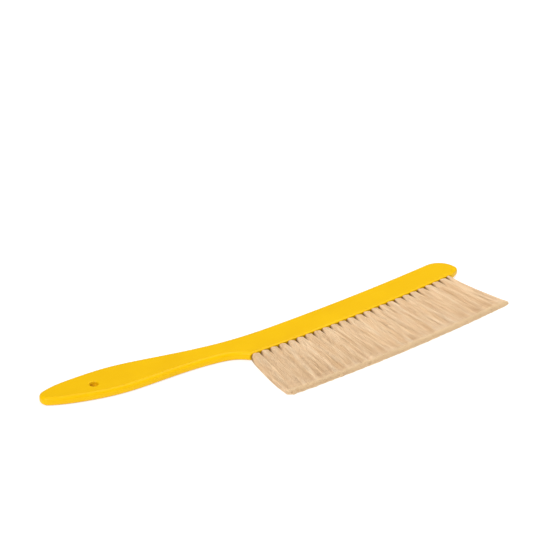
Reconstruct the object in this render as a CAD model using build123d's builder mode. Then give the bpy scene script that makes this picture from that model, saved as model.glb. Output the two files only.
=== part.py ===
from build123d import *
import math
import os

# Bee brush: a one-piece moulded handle and head, with one row of bristle tufts along the head.
# Each tuft is a bundle of bristles folded double round a flat-wire anchor. The anchor is driven
# into a blind hole in the head's bristle face, and its ends bite into the wall of the hole.
#
# Millimetres. +X runs from the butt of the grip to the toe of the head, the bristles point to -Y
# and +Z is up. The brush lies flat on its underside, and the origin is at the bottom centre of
# its box.

# Moulding
overall_length = 423.0
body_thickness = 8.0
edge_radius = 3.0  # rounding of the top and bottom edges
grip_back = 65.0  # the highest point of the grip's back edge, above the bristle face
face_radius = 1800.0  # the bristle face is one long shallow arc
face_trim = 1.0  # the face is milled this deep into the rounded edges, which leaves a flat land
heel_reach = 114.6  # from the middle of the row to the corner between face and neck
face_reach = 114.6  # from the middle of the row to the end of the face at the toe
toe_reach = 128.3  # from the middle of the row to the end of the toe
heel_radius = 4.5
nose_radius = 4.5  # toe, on the bristle side
toe_radius = 19.0  # toe, on the back
butt_radius = 8.0

# Hang hole
hang_radius = 3.5
hang_rim = 1.4  # rounding of its two rims
hang_centre = (-248.4, 44.8)

# Tufts and the holes they sit in
tuft_count = 25
tuft_pitch = 9.25
fan_radius = 772.0  # the tufts spread as if they came from one point this far behind the face
bristle_length = 66.0
root_radius = 2.95
hole_radius = 3.0
hole_depth = 12.0
fold_radius = 1.2  # rounding where the bristles turn back under the anchor
tuft_thickness = 5.6
tuft_corner = 1.2
tuft_gap = 0.15  # between neighbours
round_length = 0.8  # a tuft stays round this far out of the face
blend_length = 12.0  # and is flat from here on

# Anchors, cut from flat wire a little longer than the hole is wide
anchor_length = 7.4
anchor_height = 2.0
anchor_thickness = 0.45
anchor_floor = 1.6  # from the bottom of the hole to the anchor's lower edge

row_x = overall_length / 2 - toe_reach  # the middle of the tuft row
row_y = (bristle_length - grip_back) / 2
mid_height = body_thickness / 2


def on_face(along, out=0.0):
    """A point on the bristle face at a distance from the row's middle, or this far out of the face."""
    return Vector(row_x + along, row_y + face_radius - math.sqrt((face_radius + out) ** 2 - along**2))


def from_row(*points):
    """Points given from the middle of the row, in the part's frame."""
    return [Vector(row_x + x, row_y + y) for x, y in points]


def tuft_plane(index, out=0.0):
    """The plane across a tuft at a distance out of the face: X along the row, Z out of the face."""
    along = (index - (tuft_count - 1) / 2) * tuft_pitch
    root = on_face(along)
    turn = along / fan_radius
    plane = Plane(
        origin=(root.X, root.Y, mid_height),
        x_dir=(math.cos(turn), math.sin(turn), 0),
        z_dir=(math.sin(turn), -math.cos(turn), 0),
    )
    return plane.offset(out)


def save(part, name):
    part.label = name
    export_step(part, f"parts/{name}.step")


# The outline runs from the heel along the face, round the toe, and back along the grip
nose_corner = (toe_reach, 8.9)
head_back = [(toe_reach, 32.4), (20.0, 29.0), (-70.0, 30.5)]
grip_back_edge = [(-92.0, 31.7), (-117.0, 34.6), (-150.5, 41.6), (-192.0, 53.5), (-224.0, 61.6)]
grip_apex = (-264.0, grip_back)
butt_centre = (toe_reach - overall_length + butt_radius, 54.8)
butt_from, butt_to = 105, 236  # where the butt's arc meets the two long edges
grip_front_edge = [
    (-263.5, 35.0), (-233.0, 26.3), (-199.0, 22.9), (-163.0, 20.3), (-140.5, 16.7), (-128.0, 13.0)
]
neck_end = (1, -1.1)  # direction in which the neck runs into the heel

with BuildPart() as handle:
    with BuildSketch() as outline:
        with BuildLine():
            face = ThreePointArc(*(on_face(x, face_trim) for x in (-heel_reach, 0, face_reach)))
            back = ThreePointArc(*from_row(*head_back))
            nose = from_row(nose_corner)[0]
            Polyline(face @ 1, nose, back @ 0)
            butt = CenterArc(from_row(butt_centre)[0], butt_radius, butt_from, butt_to - butt_from)
            Spline(
                back @ 1, *from_row(*grip_back_edge, grip_apex), butt @ 0, tangents=(back % 1, butt % 0)
            )
            Spline(butt @ 1, *from_row(*grip_front_edge), face @ 0, tangents=(butt % 1, neck_end))
        make_face()
        for corner, radius in ((back @ 0, toe_radius), (nose, nose_radius), (face @ 0, heel_radius)):
            fillet(outline.vertices().sort_by_distance(corner)[0], radius=radius)
    extrude(amount=body_thickness)
    fillet(handle.faces().filter_by(Axis.Z).edges(), radius=edge_radius)

    # The land that the holes are drilled in
    with BuildSketch():
        with BuildLine():
            land = ThreePointArc(*(on_face(x) for x in (-heel_reach - 2, 0, face_reach + 4)))
            Polyline(
                land @ 1, land @ 1 - (0, 2 * body_thickness), land @ 0 - (0, 2 * body_thickness), land @ 0
            )
        make_face()
    extrude(amount=body_thickness, mode=Mode.SUBTRACT)

    with Locations(Plane.XY.offset(body_thickness)):
        with Locations(from_row(hang_centre)[0]):
            hang_hole = Hole(hang_radius)
    rims = handle.faces().filter_by(Axis.Z).edges().filter_by(GeomType.CIRCLE)
    fillet([rim for rim in rims if abs(rim.radius - hang_radius) < 0.01], radius=hang_rim)

    for index in range(tuft_count):
        with BuildSketch(tuft_plane(index, round_length)):
            Circle(hole_radius)
        extrude(amount=-hole_depth - round_length, mode=Mode.SUBTRACT)
        with BuildSketch(tuft_plane(index, anchor_floor - hole_depth)):
            Rectangle(anchor_length, anchor_thickness)
        extrude(amount=anchor_height, mode=Mode.SUBTRACT)


def make_tuft(index):
    """One tuft: folded round its anchor in the hole, round at the face, flat and wider outside it."""
    spread = tuft_pitch / fan_radius
    with BuildPart() as tuft:
        with BuildSketch(tuft_plane(index, round_length)):
            Circle(root_radius)
        extrude(amount=-hole_depth - round_length)
        fillet(tuft.faces().sort_by_distance(tuft_plane(index, -hole_depth).origin)[0].edges(), fold_radius)
        with BuildSketch(tuft_plane(index, round_length)):
            Circle(root_radius)
        for out in (blend_length, bristle_length):
            with BuildSketch(tuft_plane(index, out)):
                width = tuft_pitch + spread * out - tuft_gap
                RectangleRounded(width, tuft_thickness, tuft_corner)
        loft(ruled=True)
        with BuildSketch(tuft_plane(index, anchor_floor - hole_depth)):
            Rectangle(anchor_length, anchor_thickness)
        extrude(amount=anchor_height, mode=Mode.SUBTRACT)
    return tuft.part


def make_anchor(index):
    """A short length of flat wire across the hole, under the fold of the tuft."""
    with BuildPart() as anchor:
        with BuildSketch(tuft_plane(index, anchor_floor - hole_depth)):
            Rectangle(anchor_length, anchor_thickness)
        extrude(amount=anchor_height)
    return anchor.part


os.makedirs("parts", exist_ok=True)
save(handle.part, "handle")
for index in range(tuft_count):
    save(make_tuft(index), f"tuft_{index + 1:02d}")
    save(make_anchor(index), f"anchor_{index + 1:02d}")
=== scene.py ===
import math

import bpy
import numpy as np
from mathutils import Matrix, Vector


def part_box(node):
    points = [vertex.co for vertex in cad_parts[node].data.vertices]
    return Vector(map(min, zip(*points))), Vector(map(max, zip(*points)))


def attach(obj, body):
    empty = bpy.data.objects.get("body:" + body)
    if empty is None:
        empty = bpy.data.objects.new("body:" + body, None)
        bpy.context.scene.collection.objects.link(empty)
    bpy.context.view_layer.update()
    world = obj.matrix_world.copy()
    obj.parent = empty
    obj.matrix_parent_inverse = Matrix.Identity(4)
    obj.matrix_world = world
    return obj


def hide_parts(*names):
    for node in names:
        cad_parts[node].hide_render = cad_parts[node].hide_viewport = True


# Bee brush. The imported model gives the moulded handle, and where each tuft and its wire anchor sit.
# Here each tuft becomes a bundle of single bristles, folded double round the anchor in its hole,
# and the handle, the bristles and the wire get their materials.

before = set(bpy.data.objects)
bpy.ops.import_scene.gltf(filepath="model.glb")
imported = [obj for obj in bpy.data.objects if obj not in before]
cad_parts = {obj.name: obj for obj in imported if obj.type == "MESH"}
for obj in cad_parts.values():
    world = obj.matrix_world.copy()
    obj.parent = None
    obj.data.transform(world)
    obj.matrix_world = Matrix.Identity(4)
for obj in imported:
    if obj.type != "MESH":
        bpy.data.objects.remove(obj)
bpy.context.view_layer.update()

mm = 0.001

# The tufts, in the part's own dimensions
body_thickness = 8 * mm
tuft_count = 25
tuft_pitch = 9.25 * mm
fan_radius = 772 * mm  # the tufts spread as if they came from one point this far behind the face
bristle_length = 66 * mm
root_radius = 2.95 * mm
tuft_thickness = 5.6 * mm
hole_depth = 12 * mm
anchor_floor = 1.6 * mm  # from the bottom of the hole to the anchor's lower edge
anchor_height = 2 * mm
anchor_thickness = 0.45 * mm
middle_index = (tuft_count - 1) / 2
half_row = tuft_count * tuft_pitch / 2

# The hole to hang it by
hang_centre = (-165.2 * mm, 45.3 * mm, 0)  # of its axis; the height doesn't count
hang_radius = 3.5 * mm
hang_rim = 1.4 * mm

# The bristles
filaments_per_tuft = 240  # each is folded double, so a tuft has twice as many tips
bristle_radius = 0.125 * mm
size_spread = 0.15  # the thinnest and thickest bristles are this share off bristle_radius
tip_taper = 0.75  # a tip's radius as a share of the bristle's
taper_power = 6  # a high power keeps the taper close to the tip
innermost = 0.08  # depth of a tuft's innermost bristle, where its surface is 1
depth_power = 1.5  # above 1, more of the bristles lie near the surface
leg_scatter = 0.08  # a bristle's lower leg lies a little beside its upper one
free_rings = 13  # rings along the free length of one leg
ring_power = 1.25  # above 1, the rings are closer together near the face
fold_rings = 5
fold_gap = 0.2 * mm  # least gap from a fold to the anchor above it and to the hole's bottom
sides = 4  # of a bristle's cross-section

# How a tuft spreads out of its round hole and merges with its neighbours
flare_length = 1.0 * mm  # out of its hole a tuft spreads over this length
flare_half_width = 3.9 * mm
flare_half_height = 4.25 * mm
merge_length = 12 * mm  # this far out it meets its neighbours
groove_length = 18 * mm  # and this far out the groove between them ends
groove_depth = 0.95  # 1 would take a tuft's whole height away at its edge
groove_power = 5  # a high power keeps the groove narrow
crevice_length = 11 * mm  # painted shade lies in the groove, in a wedge this long from the face
crevice_start = 0.56  # the wedge's edge at the face, where a tuft's own edge is 1
crevice_narrowing = 0.4  # over crevice_length it moves this far towards the tuft's own edge
crevice_softness = 0.3  # the painted shade fades in over this share of a tuft's half width

# How the bristles stray from straight lines
stray_power = 1.3  # they stray more and more on the way to their tips
held_length = 16 * mm  # nearer the face than this they are still held in line
lock_lean = 0.6 * mm
ridge_height = 0.22 * mm
ridge_shift = 40 * mm  # gives the underside other ridges than the top
tip_drift = 0.45 * mm  # deviation of the tips along the row
tip_rise = 0.15 * mm  # and up and down
shortest_wave = 35 * mm
longest_wave = 80 * mm
side_wave = 0.14 * mm
up_wave = 0.06 * mm
up_wave_rate = 0.8  # waves up and down, for each wave along the row
droop = 1.2 * mm  # the bristles sag this far at their tips
underside = 0.4  # ridges and thinning on the underside, as a share of the top's

# The two ends of the row
edge_reach = 7 * mm  # the outer bristles, which these values shape
edge_thinning = 0.85  # of the height, at the root; less by edge_filling at the tips
edge_filling = 0.35
thinning_length = 1.5 * mm  # the thinning sets in over this length from the face
heel_bulge = 0.7 * mm
heel_bulge_power = 0.5  # below 1, the bulge is largest near the face
heel_lean = 3 * mm
heel_lean_power = 2.5
toe_bow = 3 * mm  # inwards, before the bristles flare out
toe_bow_power = 0.6
toe_flare = 3 * mm
toe_droop = 1.9 * mm

# The trimmed tips
trim_scatter = 0.28 * mm  # deviation of how far short of the trimmed line a bristle ends
trim_wave = 0.12 * mm
upper_rounding = 1.2 * mm
lower_rounding = 0.3 * mm
heel_trim = 3 * mm
heel_trim_reach = 8 * mm
toe_trim = 1.2 * mm
toe_trim_reach = 5 * mm

rng = np.random.default_rng(20)


def smooth_step(value):
    """0 below 0 and 1 above 1, with a smooth turn between."""
    share = np.clip(value, 0, 1)
    return share * share * (3 - 2 * share)


def bow(share, power):
    """0 at the face and at the tips, and 1 between them, nearer the face for a lower power."""
    return np.sin(math.pi * np.clip(share, 0, 1) ** power)


class Field:
    """A smooth random pattern over the distance along the row and the distance out of the face, with
    waves of about the two given lengths."""

    def __init__(self, across, out, waves=9):
        self.across = rng.normal(0, 2 * math.pi / across, waves)
        self.out = rng.normal(0, 2 * math.pi / out, waves)
        self.start = rng.uniform(0, 2 * math.pi, waves)

    def __call__(self, across, out):
        angle = across[..., None] * self.across + out[..., None] * self.out + self.start
        return np.sin(angle).sum(-1) / math.sqrt(len(self.start) / 2)


ridge = Field(5 * mm, 90 * mm)  # long low ridges in the top and bottom of the bristles
lean = Field(18 * mm, 120 * mm)  # locks of bristles that lean the same way
tip_line = Field(12 * mm, 1000 * mm)  # the trimmed edge isn't perfectly even


def tuft_frame(index):
    """Where a tuft leaves the face, the way out of the face, and the way along the row."""
    turn = (index - middle_index) * tuft_pitch / fan_radius
    out = np.array((math.sin(turn), -math.cos(turn), 0))
    side = np.array((math.cos(turn), math.sin(turn), 0))
    low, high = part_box(f"anchor_{index + 1:02d}")
    anchor_depth = hole_depth - anchor_floor - anchor_height / 2
    return np.array((low + high) / 2) + out * anchor_depth, out, side


def even_points(count):
    """Points spread evenly and without a pattern over a unit square."""
    plastic_number = 1.3247179572447460
    number = np.arange(count)
    return (0.5 + number / plastic_number) % 1, (0.5 + number / plastic_number**2) % 1


def row_places(index, across):
    """How far along the row from its middle each bristle of a tuft is."""
    return (index - middle_index + across / 2) * tuft_pitch


def edge_share(place):
    """1 for a bristle at the far end of the row, and 0 further in than edge_reach."""
    return np.clip(1 - (half_row - place) / edge_reach, 0, 1)


def bundle(across, depth, out):
    """The even bundle that a tuft spreads into, as side and up from its middle line."""
    width = tuft_pitch * (1 + out / fan_radius)
    room = root_radius - bristle_radius
    flare = 1 - (1 - np.clip(out / flare_length, 0, 1)) ** 2
    half_width = room + (flare_half_width - room) * flare
    half_width += (width / 2 - half_width) * smooth_step(out / merge_length)
    half_height = room + (flare_half_height - room) * flare
    half_height += (tuft_thickness / 2 - half_height) * smooth_step(out / groove_length)
    groove = groove_depth * (1 - smooth_step(out / groove_length))
    round_side = (1 - flare) * depth**2 / 2
    round_top = (1 - flare) * across**2 / 2 + flare * groove * np.abs(across) ** groove_power
    side = half_width * across * np.sqrt(1 - round_side)
    up = half_height * depth * np.sqrt(1 - round_top)
    return side, up


def leg(index, across, depth, length, along):
    """The line of one leg of each bristle in a tuft, as (side, out, up) from the middle of its root.
    across and depth are from -1 to 1 over the tuft, and along is the share of the free length."""
    out = along[None, :] * length[:, None]
    place = row_places(index, across)[:, None] + np.zeros_like(out)
    depth = depth[:, None]
    side, up = bundle(across[:, None], depth, out)

    # Locks that lean together, and ridges
    share = out / bristle_length
    grown = share**stray_power
    free = smooth_step(out / held_length)
    outer = depth * np.where(depth > 0, 1, -underside)
    side += lock_lean * grown * lean(place, out)
    up += ridge_height * free * outer * ridge(place, out + ridge_shift * np.sign(depth))

    # The two ends of the row, and the sag
    heel_edge = edge_share(-place)
    toe_edge = edge_share(place)
    side += heel_edge * (heel_lean * share**heel_lean_power - heel_bulge * bow(share, heel_bulge_power))
    side += toe_edge * (toe_flare * share**2 - toe_bow * bow(share, toe_bow_power))
    thinning = (edge_thinning - edge_filling * share) * np.where(depth > 0, 1, underside)
    up *= 1 - thinning * smooth_step(out / thinning_length) * (heel_edge**2 + toe_edge**2)
    up -= (droop + toe_edge * toe_droop) * smooth_step(share)

    # Each bristle's own way
    count = len(across)
    drift = rng.normal(0, tip_drift, (count, 1))
    rise = rng.normal(0, tip_rise, (count, 1))
    wave_length = rng.uniform(shortest_wave, longest_wave, (count, 1))
    phase = rng.uniform(0, 2 * math.pi, (count, 2))
    side_phase = phase[:, :1]
    up_phase = phase[:, 1:]
    wave = 2 * math.pi * out / wave_length
    side += grown * drift + side_wave * free * (np.sin(wave + side_phase) - np.sin(side_phase))
    up += grown * rise + up_wave * free * (np.sin(wave * up_wave_rate + up_phase) - np.sin(up_phase))

    floor_level = bristle_radius - body_thickness / 2
    return np.stack((side, out, np.maximum(up, floor_level)), -1)


def fold(across, depth):
    """The part of each bristle inside the hole: down beside the anchor, round under it and back."""
    room = root_radius - bristle_radius
    side = room * across * np.sqrt(1 - depth**2 / 2)
    up = room * depth * np.sqrt(1 - across**2 / 2)
    reach = fold_gap + (anchor_floor - 2 * fold_gap) * depth
    beside_anchor = anchor_thickness / 2 + bristle_radius
    half_gap = np.maximum(up, beside_anchor)
    turn = np.linspace(0, math.pi, fold_rings)
    arc_up = half_gap[:, None] * np.cos(turn)
    arc_out = anchor_floor - hole_depth - reach[:, None] * np.sin(turn)
    arc_side = side[:, None] + np.zeros_like(arc_up)
    return np.stack((arc_side, arc_out, arc_up), -1)


def corner_cut(distance, trim, reach):
    """What is trimmed off at this distance from an end of the row."""
    return trim * np.clip(1 - distance / reach, 0, 1) ** 2


def bristle_lengths(index, across, depth):
    """Each bristle's free length: trimmed to one arc, with its edge a little rounded and the row's
    two corners rounded off."""
    place = row_places(index, across)
    length = bristle_length - np.abs(rng.normal(0, trim_scatter, len(across)))
    length += trim_wave * tip_line(place, np.zeros_like(place))
    length -= np.where(depth > 0, upper_rounding, lower_rounding) * np.abs(depth) ** 3
    length -= corner_cut(half_row + place, heel_trim, heel_trim_reach)
    length -= corner_cut(half_row - place, toe_trim, toe_trim_reach)
    return length


def tubes(lines, radii):
    """Vertices and faces of a closed tube along each line, in (side, out, up)."""
    count, rings, _ = lines.shape
    way = np.gradient(lines, axis=1)
    way /= np.linalg.norm(way, axis=-1, keepdims=True)
    first = np.cross(way, np.broadcast_to((1.0, 0.0, 0.0), way.shape))
    first /= np.linalg.norm(first, axis=-1, keepdims=True)
    second = np.cross(way, first)
    turn = np.arange(sides) * 2 * math.pi / sides + math.pi / sides
    ring = first[:, :, None] * np.cos(turn)[:, None] + second[:, :, None] * np.sin(turn)[:, None]
    vertices = lines[:, :, None] + ring * radii[:, :, None, None]

    strand = np.arange(count)[:, None, None] * rings * sides
    step = np.arange(rings - 1)[None, :, None] * sides
    corner = np.arange(sides)[None, None, :]
    after = (corner + 1) % sides
    quads = np.stack(np.broadcast_arrays(
        strand + step + corner,
        strand + step + after,
        strand + step + sides + after,
        strand + step + sides + corner,
    ), -1).reshape(-1, 4)
    base = np.arange(count)[:, None] * rings * sides
    start_cap = base + np.arange(sides)[::-1]
    end_cap = base + (rings - 1) * sides + np.arange(sides)
    return vertices.reshape(-1, 3), np.concatenate((quads, start_cap, end_cap))


def store(mesh, name, kind, field, values):
    """Give every vertex a value that a material can read."""
    attribute = mesh.attributes.new(name, kind, "POINT")
    attribute.data.foreach_set(field, values.astype(np.float32).ravel())


def make_bristles(index):
    """One tuft: every bristle runs from one tip, round the anchor in the hole, to its other tip."""
    from_side, from_middle = even_points(filaments_per_tuft)
    across = 2 * from_side - 1
    depth = 1 - (1 - innermost) * (1 - from_middle) ** depth_power
    along = np.linspace(1, 0, free_rings) ** ring_power
    upper = leg(index, across, depth, bristle_lengths(index, across, depth), along)
    other = np.clip(across + rng.normal(0, leg_scatter, len(across)), -1, 1)
    lower = leg(index, other, -depth, bristle_lengths(index, other, depth), along)[:, ::-1]
    lines = np.concatenate((upper, fold(across, depth), lower), 1)

    share = np.concatenate((along, np.zeros(fold_rings), along[::-1]))
    taper = 1 - (1 - tip_taper) * share**taper_power
    size = bristle_radius * rng.uniform(1 - size_spread, 1 + size_spread, filaments_per_tuft)
    local, faces = tubes(lines, size[:, None] * taper)

    root, out, side = tuft_frame(index)
    up = np.array((0, 0, 1))
    vertices = root + local[:, :1] * side + local[:, 1:2] * out + local[:, 2:] * up

    mesh = bpy.data.meshes.new(f"bristles_{index + 1:02d}")
    mesh.from_pydata(vertices.tolist(), [], faces.tolist())
    mesh.shade_smooth()

    # Painted shade: how far each bristle lies in the darkened wedge of the groove between tufts, near
    # the face.
    wedge_edge = crevice_start + crevice_narrowing * share * bristle_length / crevice_length
    crevice = smooth_step((np.abs(across[:, None]) - wedge_edge) / crevice_softness)
    store(mesh, "crevice", "FLOAT", "value", np.repeat(crevice, sides, axis=1))

    # A bristle's own random share, the share of its free length, and its place along the row
    facts = np.zeros((filaments_per_tuft, len(share), sides, 3))
    facts[..., 0] = rng.uniform(0, 1, filaments_per_tuft)[:, None, None]
    facts[..., 1] = share[None, :, None]
    facts[..., 2] = row_places(index, across)[:, None, None]
    store(mesh, "strand", "FLOAT_VECTOR", "vector", facts)

    piece = bpy.data.objects.new(mesh.name, mesh)
    bpy.context.scene.collection.objects.link(piece)
    mesh.materials.append(bristle_material)
    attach(piece, "root")
    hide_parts(f"tuft_{index + 1:02d}")


# Materials

def new_material(name):
    """A material with its node tree and its one Principled shader."""
    material = bpy.data.materials.new(name)
    material.use_nodes = True
    return material, material.node_tree, material.node_tree.nodes["Principled BSDF"]


def fill(tree, made, inputs):
    """Give a node its inputs: numbers and colours are set, and sockets are linked."""
    for name, value in inputs.items():
        if isinstance(value, bpy.types.NodeSocket):
            tree.links.new(value, made.inputs[name])
        else:
            made.inputs[name].default_value = value


def node(tree, kind, inputs=None, **settings):
    """A new node with its settings and its inputs."""
    made = tree.nodes.new(kind)
    for name, value in settings.items():
        setattr(made, name, value)
    fill(tree, made, inputs or {})
    return made


def object_place(tree):
    """Where a point is on its object, in metres."""
    return node(tree, "ShaderNodeTexCoord").outputs["Object"]


def stretched(tree, place, scale):
    """The place with its own scale in X, Y and Z."""
    return node(tree, "ShaderNodeMapping", {"Vector": place, "Scale": scale}).outputs["Vector"]


def noise(tree, place, scale, detail, roughness=0.5):
    """A cloudy random value."""
    return node(tree, "ShaderNodeTexNoise", {
        "Vector": place,
        "Scale": scale,
        "Detail": detail,
        "Roughness": roughness,
    }).outputs["Fac"]


def mapped(tree, value, start=0, end=1, low=0, high=1):
    """The value's range from start to end, spread over low to high."""
    return node(tree, "ShaderNodeMapRange", {
        "Value": value,
        "From Min": start,
        "From Max": end,
        "To Min": low,
        "To Max": high,
    }).outputs["Result"]


def times(tree, value, factor):
    """A value multiplied by a number."""
    return node(tree, "ShaderNodeMath", {0: value, 1: factor}, operation="MULTIPLY").outputs[0]


def vector_math(tree, operation, *inputs):
    """The outputs of one step of vector arithmetic on the inputs."""
    return node(tree, "ShaderNodeVectorMath", dict(enumerate(inputs)), operation=operation).outputs


def bump(tree, height, strength, distance, **under):
    """Normals bent by a height, over the normals of another bump if one is given."""
    return node(tree, "ShaderNodeBump", {
        "Height": height,
        "Strength": strength,
        "Distance": distance,
        **under,
    }).outputs["Normal"]


def blend(tree, factor, first, second):
    """The first colour where the factor is 0, and the second where it is 1."""
    inputs = {"Factor": factor}
    for name, colour in (("A", first), ("B", second)):
        inputs[name] = colour if isinstance(colour, bpy.types.NodeSocket) else (*colour, 1)
    return node(tree, "ShaderNodeMix", inputs, data_type="RGBA").outputs["Result"]


def ramp(tree, factor, stops):
    """A colour ramp with stops of (place, colour)."""
    made = node(tree, "ShaderNodeValToRGB", {"Fac": factor})
    elements = made.color_ramp.elements
    while len(elements) < len(stops):
        elements.new(0.5)
    for element, (place, colour) in zip(elements, stops):
        element.position = place
        element.color = (*colour, 1)
    return made.outputs["Color"]


def linear(red, green, blue):
    """A colour given as it looks on a screen, from 0 to 255, as light, by the sRGB curve."""
    def light(value):
        value = value / 255
        return value / 12.92 if value <= 0.04045 else ((value + 0.055) / 1.055) ** 2.4
    return light(red), light(green), light(blue)


def make_plastic():
    """Yellow moulded plastic: soft gloss, a faint orange peel, cloudy colour, fine rubbing marks, and
    painted shade between the tufts and in the hanging hole."""
    notch_shade_brown = linear(140, 85, 4)
    hole_shade_brown = linear(176, 118, 3)
    hole_shade_share = 0.27
    material, tree, shader = new_material("yellow_plastic")
    place = object_place(tree)
    cloud = noise(tree, place, scale=28, detail=3)
    speck = noise(tree, place, scale=900, detail=2)
    rub = noise(tree, stretched(tree, place, (40, 420, 420)), scale=1, detail=5, roughness=0.7)
    yellow = ramp(tree, cloud, [
        (0.3, linear(233, 182, 1)),
        (0.7, linear(238, 189, 2)),
    ])

    # Painted shade: brown where ambient occlusion finds the narrow gaps between the tufts and other
    # tight corners.
    openness = node(tree, "ShaderNodeAmbientOcclusion", {"Distance": 2.5 * mm}, samples=8).outputs["AO"]
    notch_shaded = blend(tree, mapped(tree, openness, start=0.12, end=0.48), notch_shade_brown, yellow)

    # Painted shade: brown on the inner wall of the hanging hole, where the wall lies in shade.
    from_hole = vector_math(tree, "SUBTRACT", place, hang_centre)["Vector"]
    flat = vector_math(tree, "MULTIPLY", from_hole, (1, 1, 0))["Vector"]
    reach = vector_math(tree, "LENGTH", flat)["Value"]
    inside = mapped(
        tree,
        reach,
        start=hang_radius + 0.1 * mm,
        end=hang_radius + hang_rim / 2,
        low=hole_shade_share,
        high=0,
    )

    peel = bump(tree, speck, strength=0.12, distance=0.1 * mm)
    fill(tree, shader, {
        "Base Color": blend(tree, inside, notch_shaded, hole_shade_brown),
        "Roughness": mapped(tree, rub, start=0.35, end=0.75, low=0.34, high=0.46),
        "Normal": bump(tree, cloud, strength=0.08, distance=1 * mm, Normal=peel),
        "IOR": 1.46,
        "Specular IOR Level": 0.13,
    })
    return material


def make_bristle_hair():
    """Blond natural bristle: each one its own tone, in light and dark locks, pale at the trimmed
    tips partly by their own colour and partly by painted light, with painted shade in the grooves
    between the tufts."""
    tip_cream_and_painted_light = linear(255, 229, 188)
    tip_share = 0.9
    groove_shade_brown = linear(128, 84, 30)
    own_share = 0.15  # of a bristle's own shade in the mix; the rest is its lock's
    lock_rate = 220  # locks per metre of the row
    lock_change = 1.6  # and how often they change over a bristle's free length
    material, tree, shader = new_material("blond_bristle")
    facts = node(tree, "ShaderNodeAttribute", attribute_name="strand").outputs["Vector"]
    parts = node(tree, "ShaderNodeSeparateXYZ", {"Vector": facts})
    own, along, across = (parts.outputs[name] for name in "XYZ")

    lock_place = node(tree, "ShaderNodeCombineXYZ", {
        "X": times(tree, across, lock_rate),
        "Y": times(tree, along, lock_change),
    }).outputs["Vector"]
    shade = node(tree, "ShaderNodeMix", {
        "Factor": own_share,
        "A": noise(tree, lock_place, scale=1, detail=2, roughness=0.6),
        "B": own,
    }, data_type="FLOAT").outputs["Result"]
    hair = ramp(tree, shade, [
        (0.25, linear(226, 190, 144)),
        (0.5, linear(241, 210, 170)),
        (0.75, linear(249, 226, 194)),
    ])
    # Pale tips: partly the trimmed ends' own colour, partly painted light on ends that catch little
    # lamp light.
    tip = mapped(tree, along, start=0.962, end=0.99)
    trimmed = blend(tree, times(tree, tip, tip_share), hair, tip_cream_and_painted_light)
    # Painted shade in the grooves between the tufts.
    crevice = node(tree, "ShaderNodeAttribute", attribute_name="crevice").outputs["Fac"]

    grain = noise(tree, object_place(tree), scale=2500, detail=1)
    fill(tree, shader, {
        "Base Color": blend(tree, crevice, trimmed, groove_shade_brown),
        "Roughness": mapped(tree, grain, low=0.42, high=0.62),
        "IOR": 1.55,
        "Specular IOR Level": 0.4,
    })
    return material


def make_wire():
    """Flat steel wire: drawn lines along its length, and a dull grey surface."""
    material, tree, shader = new_material("anchor_steel")
    lines = noise(tree, stretched(tree, object_place(tree), (150, 9000, 9000)), scale=1, detail=3)
    fill(tree, shader, {
        "Base Color": ramp(tree, lines, [
            (0.3, linear(150, 148, 145)),
            (0.7, linear(190, 189, 186)),
        ]),
        "Roughness": mapped(tree, lines, low=0.25, high=0.5),
        "Normal": bump(tree, lines, strength=0.3, distance=0.02 * mm),
        "Metallic": 1.0,
    })
    return material


def give(name, material):
    """A CAD node's own mesh shows in this material."""
    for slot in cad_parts[name].material_slots:
        slot.link = "OBJECT"
        slot.material = material


bristle_material = make_bristle_hair()
give("handle", make_plastic())
wire_material = make_wire()
for index in range(tuft_count):
    give(f"anchor_{index + 1:02d}", wire_material)
    make_bristles(index)


# Stage: a white floor, three soft lights and a pale surround

def make_floor(size):
    """A square white floor that glows a little, so that it stays pale to its far edge."""
    half = size / 2
    corners = [(-half, -half, 0), (half, -half, 0), (half, half, 0), (-half, half, 0)]
    mesh = bpy.data.meshes.new("floor")
    mesh.from_pydata(corners, [], [(0, 1, 2, 3)])
    material, tree, shader = new_material("white_floor")
    fill(tree, shader, {
        "Base Color": (0.55, 0.55, 0.55, 1),
        "Roughness": 0.9,
        "Specular IOR Level": 0.0,
        "Emission Color": (1, 1, 1, 1),
        "Emission Strength": 0.6,
    })
    mesh.materials.append(material)
    floor = bpy.data.objects.new("floor", mesh)
    bpy.context.scene.collection.objects.link(floor)
    return floor


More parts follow.
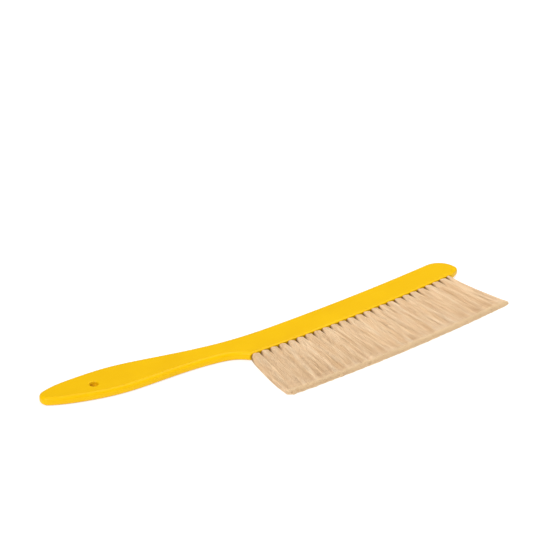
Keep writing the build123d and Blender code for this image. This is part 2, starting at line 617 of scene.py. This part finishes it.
def round_about(azimuth, elevation, distance):
    """A place that far from the middle of the floor; azimuth 0 is in front, and -90 at the butt end."""
    turn = math.radians(azimuth)
    rise = math.radians(elevation)
    return distance * Vector((
        math.sin(turn) * math.cos(rise),
        -math.cos(turn) * math.cos(rise),
        math.sin(rise),
    ))


def soft_light(name, place, size, power):
    """A square soft box that faces the middle of the floor."""
    data = bpy.data.lights.new(name, "AREA")
    data.shape = "SQUARE"
    data.size = size
    data.energy = power
    lamp = bpy.data.objects.new(name, data)
    lamp.location = place
    lamp.rotation_mode = "QUATERNION"
    lamp.rotation_quaternion = (-place).to_track_quat("-Z", "Y")
    bpy.context.scene.collection.objects.link(lamp)


floor = make_floor(size=12)

world = bpy.data.worlds.new("studio")
world.use_nodes = True
fill(world.node_tree, world.node_tree.nodes["Background"], {"Color": (1, 1, 1, 1), "Strength": 0.2})
bpy.context.scene.world = world

soft_light("key", round_about(-66, 42, 8.0), size=4.4, power=518)
soft_light("fill", round_about(50, 22, 4.0), size=2.0, power=34)
soft_light("overhead", round_about(110, 66, 2.0), size=1.4, power=20)

# Camera, at the angle of the reference picture

camera_azimuth = -37.42
camera_elevation = 29.46
camera_distance = 1909 * mm
aim_from_row = (-6.5 * mm, 110.9 * mm)  # from the root of the middle tuft
focal_length = 135.1  # this and the sensor are in millimetres
sensor_width = 36

row_middle = tuft_frame(tuft_count // 2)[0]
aim = Vector((row_middle[0] + aim_from_row[0], row_middle[1] + aim_from_row[1], 0))
back = round_about(camera_azimuth, camera_elevation, 1)
camera_data = bpy.data.cameras.new("camera")
camera_data.sensor_width = sensor_width
camera_data.lens = focal_length
camera_data.clip_start = 0.05
camera_data.clip_end = 50
camera = bpy.data.objects.new("camera", camera_data)
camera.location = aim + back * camera_distance
camera.rotation_mode = "QUATERNION"
camera.rotation_quaternion = (-back).to_track_quat("-Z", "Y")
bpy.context.scene.collection.objects.link(camera)
bpy.context.scene.camera = camera
bpy.context.scene.view_settings.view_transform = "Standard"
